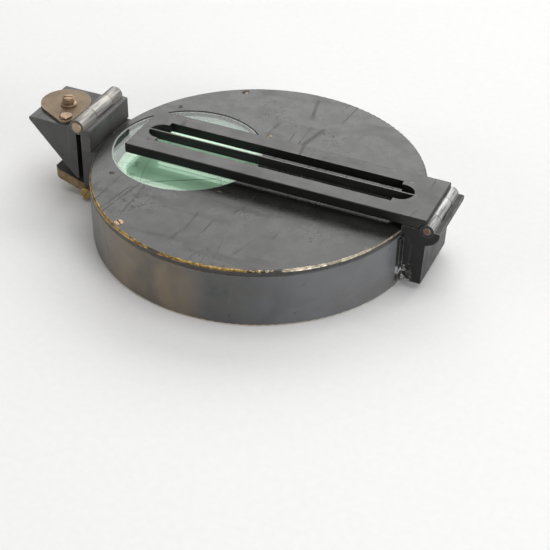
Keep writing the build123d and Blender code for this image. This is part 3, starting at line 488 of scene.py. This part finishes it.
def lid_screw_material(name):
    """Lid screws lacquered over; the one by the slide has been turned most and is bare."""
    mt = Mat(name)
    x, y, z = mt.xyz()
    n1 = mt.noise(420.0, 5.0, 0.7)
    mine = mt.math("MULTIPLY", mt.ramp(x, -0.022, -0.020, 1.0, 0.0), mt.ramp(y, -0.002, 0.0, 1.0, 0.0), clamp=True)
    bare = mt.ramp(mt.math("MULTIPLY_ADD", mine, 0.16, n1), 0.50, 0.60)
    tone = mt.mix(mt.ramp(mt.noise(1300.0, 3.0), 0.3, 0.7), (0.24, 0.15, 0.09), (0.52, 0.36, 0.23))
    col = mt.mix(bare, (0.034, 0.031, 0.027), tone)
    return mt.use(col, mt.mixf(bare, 0.46, 0.38), mt.math("MULTIPLY", bare, 0.75), mt.bump(n1, 0.3, 0.00004))


def bracket_material(args, spec=0.55):
    """The bracket, chipped to bare metal low down where it meets the drum."""
    mt, col, rg, metal, nm = args
    x, y, z = mt.xyz()
    chip = mt.ramp(mt.noise(520.0, 5.0, 0.75), 0.50, 0.58)
    here = mt.math("MULTIPLY", mt.ramp(z, 0.0080, 0.0105, 1.0, 0.0), mt.ramp(x, 0.0590, 0.0612, 1.0, 0.0))
    here = mt.math("MULTIPLY", here, mt.ramp(y, -0.0120, -0.0100, 1.0, 0.0))
    chip = mt.math("MULTIPLY", chip, here, clamp=True)
    col = mt.mix(chip, col, (0.42, 0.42, 0.40))
    rg = mt.mixf(chip, rg, 0.5)
    mt.b.inputs["Specular IOR Level"].default_value = spec
    return mt.use(col, rg, metal, nm)


def worn_screw(name, base, keep=0.5):
    """Screw head lacquered over with the rest and rubbed back to metal in patches."""
    mt = Mat(name)
    n1 = mt.noise(420.0, 5.0, 0.7)
    n2 = mt.noise(60.0, 2.0, 0.5)
    bare = mt.ramp(mt.math("ADD", mt.math("MULTIPLY", n1, 0.6), mt.math("MULTIPLY", n2, 0.4)), keep - 0.05, keep + 0.05)
    tone = mt.mix(mt.ramp(mt.noise(1300.0, 3.0), 0.3, 0.7), tuple(c * 0.6 for c in base), base)
    col = mt.mix(bare, (0.030, 0.028, 0.025), tone)
    return mt.use(col, mt.mixf(bare, 0.45, 0.40), mt.math("MULTIPLY", bare, 0.85), mt.bump(n1, 0.3, 0.00004))


def brass(name, base=(0.64, 0.48, 0.26), rough=0.36, stain=0.6, edge=True, metal=1.0, streak=None):
    mt = Mat(name)
    big = mt.noise(120.0, 4.0, 0.6)
    fine = mt.noise(1400.0, 4.0, 0.65)
    col = mt.mix(mt.ramp(big, 0.3, 0.72), base, tuple(c * 0.72 for c in base))
    spots = mt.math("MULTIPLY", mt.ramp(mt.noise(420.0, 5.0, 0.7, dist=0.4), 0.55, 0.72), stain)
    col = mt.mix(spots, col, (0.16, 0.10, 0.05))
    line = mt.noise(800.0, 3.0, 0.6, co=mt.mapped((1.0, 0.06, 1.0), (0, 0, 0.6)))
    if edge:
        e = mt.edge(0.0003)
        col = mt.mix(mt.math("MULTIPLY", e, 0.55), col, (0.86, 0.70, 0.44))
    rg = mt.ramp(mt.math("ADD", mt.math("MULTIPLY", line, 0.5), mt.math("MULTIPLY", fine, 0.5)), 0.3, 0.7, rough - 0.08, rough + 0.12)
    rg = mt.mixf(spots, rg, 0.62)
    h = mt.math("ADD", mt.math("MULTIPLY", line, 0.6), mt.math("MULTIPLY", fine, 0.4))
    nm = mt.bump(h, 0.3, 0.00004)
    return mt.use(col, rg, metal, nm)


def steel(name, base, rough=0.3, blue=0.0):
    mt = Mat(name)
    line = mt.noise(1200.0, 4.0, 0.6, co=mt.mapped((0.05, 1.0, 1.0)))
    big = mt.noise(140.0, 4.0, 0.6)
    col = mt.mix(mt.ramp(big, 0.3, 0.7), base, tuple(c * 0.78 for c in base))
    spots = mt.ramp(mt.noise(520.0, 5.0, 0.7), 0.60, 0.74, 0.0, 0.5)
    col = mt.mix(spots, col, (0.12, 0.08, 0.05))
    rg = mt.ramp(line, 0.3, 0.7, rough - 0.08, rough + 0.12)
    nm = mt.bump(line, 0.25, 0.00003)
    return mt.use(col, rg, 1.0, nm)


def blade_material():
    """Blackened steel, dull along its flanks, with the top edge rubbed grey."""
    mt = Mat("blade_steel")
    x, y, z = mt.xyz()
    n1 = mt.noise(300.0, 4.0, 0.7)
    top = mt.ramp(mt.math("ADD", z, mt.math("MULTIPLY", mt.math("SUBTRACT", n1, 0.5), 0.00022)), 0.02732, 0.02744)
    streak = mt.noise(900.0, 3.0, 0.6, co=mt.mapped((0.08, 1, 1)))
    side = mt.mix(mt.ramp(streak, 0.3, 0.7), (0.010, 0.010, 0.010), (0.024, 0.024, 0.023))
    edge = mt.mix(mt.ramp(streak, 0.3, 0.7), (0.15, 0.145, 0.135), (0.27, 0.26, 0.24))
    col = mt.mix(top, side, edge)
    rg = mt.mixf(top, 0.5, mt.ramp(streak, 0.3, 0.7, 0.42, 0.62))
    return mt.use(col, rg, mt.math("MULTIPLY", top, 0.6), mt.bump(streak, 0.3, 0.00003))


def glass(name, tint, dust=0.3, rim=None):
    """Tinted glass; lamps shine through it as through a clear pane of the same tint."""
    mt = Mat(name)
    t = mt.t
    film = mt.ramp(mt.noise(140.0, 5.0, 0.65, co=mt.mapped((1, 0.5, 1), (0, 0, 0.7))), 0.35, 0.8, 0.0, dust)
    specks = mt.ramp(mt.voronoi(700.0), 0.05, 0.11, 1.0, 0.0)
    specks = mt.math("MULTIPLY", specks, mt.ramp(mt.noise(120.0, 3.0), 0.55, 0.7))
    col = mt.mix(mt.math("MULTIPLY", film, 0.25), tint, tuple(c * 0.86 for c in tint))
    col = mt.mix(mt.math("MULTIPLY", specks, 0.5), col, (0.55, 0.56, 0.50))
    mt.b.inputs["IOR"].default_value = 1.5
    rg = mt.ramp(film, 0.0, max(dust, 0.01), 0.012, 0.05)
    if rim:
        # the pane's ground edge, milky where it is bedded
        x, y, z = mt.xyz()
        dx, dy = mt.math("SUBTRACT", x, rim[0]), mt.math("SUBTRACT", y, rim[1])
        rr = mt.math("SQRT", mt.math("ADD", mt.math("MULTIPLY", dx, dx), mt.math("MULTIPLY", dy, dy)))
        wob = mt.math("MULTIPLY", mt.math("SUBTRACT", mt.noise(260.0, 4.0, 0.7), 0.5), 0.0004)
        milk = mt.ramp(mt.math("ADD", rr, wob), rim[2], rim[2] + 0.0006)
        col = mt.mix(milk, col, (0.60, 0.66, 0.60))
        rg = mt.mixf(milk, rg, 0.45)
        mt.link(mt.ramp(milk, 0.0, 1.0, 1.0, 0.30), mt.b.inputs["Transmission Weight"])
    else:
        mt.b.inputs["Transmission Weight"].default_value = 1.0
    mt.use(col, rg, 0.0, mt.bump(mt.noise(30.0, 2.0, 0.5), 0.05, 0.0002))
    tr = t.nodes.new("ShaderNodeBsdfTransparent")
    mt.link(col, tr.inputs["Color"])
    lp = t.nodes.new("ShaderNodeLightPath")
    mx = t.nodes.new("ShaderNodeMixShader")
    mt.link(lp.outputs["Is Shadow Ray"], mx.inputs[0])
    mt.link(mt.b.outputs[0], mx.inputs[1])
    mt.link(tr.outputs[0], mx.inputs[2])
    mt.link(mx.outputs[0], mt.out.inputs["Surface"])
    return mt.m


def card_material():
    """Enamelled card, ivory white with faint yellowing."""
    mt = Mat("card_enamel")
    r, x, y, z = mt.radial()
    big = mt.noise(40.0, 4.0, 0.6)
    fine = mt.noise(900.0, 3.0, 0.6)
    col = mt.mix(mt.ramp(big, 0.3, 0.75), (0.80, 0.80, 0.74), (0.70, 0.71, 0.64))
    foxing = mt.ramp(mt.noise(210.0, 5.0, 0.7), 0.64, 0.78, 0.0, 0.35)
    col = mt.mix(foxing, col, (0.45, 0.36, 0.20))
    rg = mt.ramp(fine, 0.3, 0.7, 0.45, 0.6)
    nm = mt.bump(fine, 0.2, 0.00003)
    return mt.use(col, rg, 0.0, nm)


def ink_material(name, lo, hi):
    mt = Mat(name)
    n1 = mt.noise(700.0, 4.0, 0.7)
    col = mt.mix(mt.ramp(n1, 0.3, 0.75), lo, hi)
    return mt.use(col, mt.ramp(n1, 0.3, 0.7, 0.5, 0.7), 0.0, mt.bump(n1, 0.2, 0.00002))


def floor_material():
    mt = Mat("floor_paper")
    n1 = mt.noise(400.0, 4.0, 0.6)
    col = mt.mix(mt.ramp(n1, 0.3, 0.7), (0.91, 0.91, 0.905), (0.93, 0.93, 0.925))
    return mt.use(col, 0.75, 0.0, mt.bump(n1, 0.05, 0.0001))


M = {
    "lid": case_material("lid_lacquer", (0.020, 0.020, 0.019), 0.27, True),
    "case": case_material("case_lacquer", (0.056, 0.057, 0.058), 0.31, False),
    "ring": finish_lacquer(lacquer("ring_lacquer", (0.020, 0.020, 0.020), 0.4, wear=0.2)),
    "vane": vane_material("vane_lacquer"),
    "bracket": bracket_material(lacquer("bracket_lacquer", (0.009, 0.009, 0.010), 0.38, wear=0.45, hinge=(0.0646, 0.0236, 0.00245), grey=(0.40, 0.40, 0.39), edge_metal=(0.42, 0.41, 0.38)), 0.3),
    "guide": finish_lacquer(lacquer("guide_lacquer", (0.045, 0.045, 0.045), 0.36, wear=0.3, edge_metal=(0.36, 0.34, 0.30))),
    "slide": slide_material("slide_lacquer", (0.060, 0.058, 0.055), 0.36),
    "box": finish_lacquer(lacquer("box_lacquer", (0.040, 0.040, 0.040), 0.34, wear=0.4, hinge=(-0.0632, 0.0294, 0.0029), grey=(0.40, 0.385, 0.36), edge_metal=(0.32, 0.31, 0.29))),
    "brass": brass("brass_aged"),
    "cover": brass("brass_cover", (0.29, 0.215, 0.140), 0.50, 0.75, metal=0.5),
    "knob": brass("brass_knob", (0.42, 0.29, 0.20), 0.38, 0.9, metal=0.85),
    "pin": brass("brass_pin", (0.48, 0.36, 0.25), 0.42, 0.5, metal=0.8),
    "pin_dull": brass("brass_pin_dull", (0.17, 0.105, 0.075), 0.48, 0.6, metal=0.6),
    "screw": brass("brass_screw", (0.56, 0.42, 0.24), 0.40, 0.6, metal=0.85),
    "slide_screw": brass("brass_slide_screw", (0.44, 0.29, 0.11), 0.42, 0.7, metal=0.8),
    "lid_screw": lid_screw_material("lid_screws_brass"),
    "screw_worn": worn_screw("screw_worn", (0.34, 0.29, 0.20), 0.54),
    "screw_dark": worn_screw("screw_dark", (0.30, 0.27, 0.22), 0.56),
    "steel": steel("steel_ground", (0.50, 0.50, 0.50)),
    "spring": steel("spring_blue", (0.16, 0.20, 0.32), 0.28),
    "blade": blade_material(),
    "glass": glass("window_pane", (0.75, 0.93, 0.82), rim=(-0.0283, 0.0022, 0.0256)),
    "prism": glass("prism_glass", (0.93, 0.97, 0.95), 0.1),
    "card": card_material(),
    "ink": ink_material("dial_ink", (0.20, 0.21, 0.19), (0.34, 0.35, 0.31)),
    "ink_dark": ink_material("dial_ink_dark", (0.030, 0.034, 0.030), (0.070, 0.074, 0.066)),
    "floor": floor_material(),
}

USE = {
    "case_body": "case", "top_plate": "lid", "lid_screws": "lid_screw", "window_glass": "glass", "window_retainer": "ring",
    "window_screws": "screw_worn", "pivot_post": "brass", "pivot_needle": "steel", "jewel_cap": "brass", "needle_magnet": "steel",
    "compass_card": "card", "lift_collar": "brass", "lifter_lever": "brass", "lever_stand": "brass", "lever_pin": "steel",
    "lifter_spring": "spring", "spring_screw": "brass", "lift_pin": "brass", "brake_button": "screw", "brake_arm": "spring",
    "vane_bracket": "bracket", "bracket_screws": "screw", "bracket_side_screw": "screw_dark", "vane_hinge_pin": "pin_dull",
    "sight_vane": "vane", "sight_blade": "blade", "vane_pins": "screw_dark", "prism_guide": "guide", "guide_screws": "screw",
    "slide_screw": "slide_screw", "focus_slide": "slide", "prism_hinge_pin": "pin", "prism_box": "box", "prism_back_plate": "box",
    "prism_side_screws": "screw_dark", "prism": "prism", "cover_plate": "cover", "cover_screw": "knob", "cover_knob": "knob",
}
for n, o in N.items():
    o.data.materials.clear()
    o.data.materials.append(M[USE[n]])
floor.data.materials.append(M["floor"])

# ------------------------------------------------------------------ dial print
CARD_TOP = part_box("compass_card")[1].z
DIAL_TURN = math.radians(30.6)          # where the card came to rest


def add_bar(bm, r0, r1, ang, half, z0=0.0, z1=0.00002):
    c, s = math.cos(ang), math.sin(ang)
    vs = []
    for r, w in ((r0, -half), (r1, -half), (r1, half), (r0, half)):
        for z in (z0, z1):
            vs.append(bm.verts.new((r * c - w * s, r * s + w * c, CARD_TOP + z)))
    a = vs[0::2]
    b = vs[1::2]
    bm.faces.new(b)
    bm.faces.new(a[::-1])
    for i in range(4):
        j = (i + 1) % 4
        bm.faces.new((a[i], a[j], b[j], b[i]))


def add_ring(bm, r0, r1, seg=240, z0=0.0, z1=0.00002):
    rings = []
    for r, z in ((r0, z0), (r0, z1), (r1, z1), (r1, z0)):
        rings.append([bm.verts.new((r * math.cos(2 * math.pi * i / seg), r * math.sin(2 * math.pi * i / seg), CARD_TOP + z)) for i in range(seg)])
    for k in range(4):
        a, b = rings[k], rings[(k + 1) % 4]
        for i in range(seg):
            j = (i + 1) % seg
            bm.faces.new((a[i], b[i], b[j], a[j]))


bm = bmesh.new()
for k in range(720):
    a = DIAL_TURN + math.radians(k / 2)
    if k % 20 == 0:
        add_bar(bm, 0.0458, 0.0500, a, 0.00013)
    elif k % 10 == 0:
        add_bar(bm, 0.0468, 0.0500, a, 0.00010)
    elif k % 2 == 0:
        add_bar(bm, 0.0480, 0.0500, a, 0.00007)
    else:
        add_bar(bm, 0.0488, 0.0500, a, 0.00005)
add_ring(bm, 0.04995, 0.05015)
add_ring(bm, 0.0404, 0.04055)
add_ring(bm, 0.0129, 0.0131, 120)
add_ring(bm, 0.0096, 0.0098, 120)
dial_bm = bm
# outline of the needle under the card
bm = bmesh.new()
for sgn in (-1, 1):
    for side in (0, math.pi):
        c, s = math.cos(DIAL_TURN + side), math.sin(DIAL_TURN + side)
        off = sgn * 0.0034
        p0 = (0.0131 * c - off * s, 0.0131 * s + off * c)
        p1 = (0.0395 * c - off * s, 0.0395 * s + off * c)
        w = 0.00013
        vs = []
        for (px, py), sg in ((p0, -1), (p1, -1), (p1, 1), (p0, 1)):
            for z in (0.0, 0.00002):
                vs.append(bm.verts.new((px - sg * w * s, py + sg * w * c, CARD_TOP + z)))
        a, b = vs[0::2], vs[1::2]
        bm.faces.new(b)
        bm.faces.new(a[::-1])
        for i in range(4):
            j = (i + 1) % 4
            bm.faces.new((a[i], a[j], b[j], b[i]))


def printed(name, bm, mat):
    bm.normal_update()
    me = bpy.data.meshes.new(name)
    bm.to_mesh(me)
    bm.free()
    o = bpy.data.objects.new(name, me)
    scene.collection.objects.link(o)
    o.data.materials.append(mat)
    return o


dial = printed("dial_print", dial_bm, M["ink"])
outline = printed("needle_outline", bm, M["ink_dark"])

# numerals, written in reverse because they are read through the prism
parts = []
for k in range(36):
    a = DIAL_TURN + math.radians(10 * k)
    txt = bpy.data.curves.new("num", "FONT")
    txt.body = str(((k * 10 + 180) % 360) or 360)
    txt.size = 0.0026
    txt.align_x, txt.align_y = "CENTER", "CENTER"
    txt.extrude = 0.00001
    txt.resolution_u = 3
    o = bpy.data.objects.new("num", txt)
    scene.collection.objects.link(o)
    bpy.context.view_layer.update()
    me = bpy.data.meshes.new_from_object(o.evaluated_get(bpy.context.evaluated_depsgraph_get()))
    bpy.data.objects.remove(o)
    # mirrored left to right, feet towards the rim
    me.transform(Matrix.Scale(-1, 4, (1, 0, 0)))
    me.flip_normals()
    me.transform(Matrix.Translation((0.0441 * math.cos(a), 0.0441 * math.sin(a), CARD_TOP + 0.00001)) @ Matrix.Rotation(a + math.pi / 2, 4, "Z"))
    parts.append(me)
bm = bmesh.new()
for me in parts:
    bm.from_mesh(me)
    bpy.data.meshes.remove(me)
nm = bpy.data.meshes.new("dial_numerals")
bm.to_mesh(nm)
bm.free()
numerals = bpy.data.objects.new("dial_numerals", nm)
scene.collection.objects.link(numerals)
numerals.data.materials.append(M["ink"])
for o in (dial, outline, numerals):
    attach(o, "card")
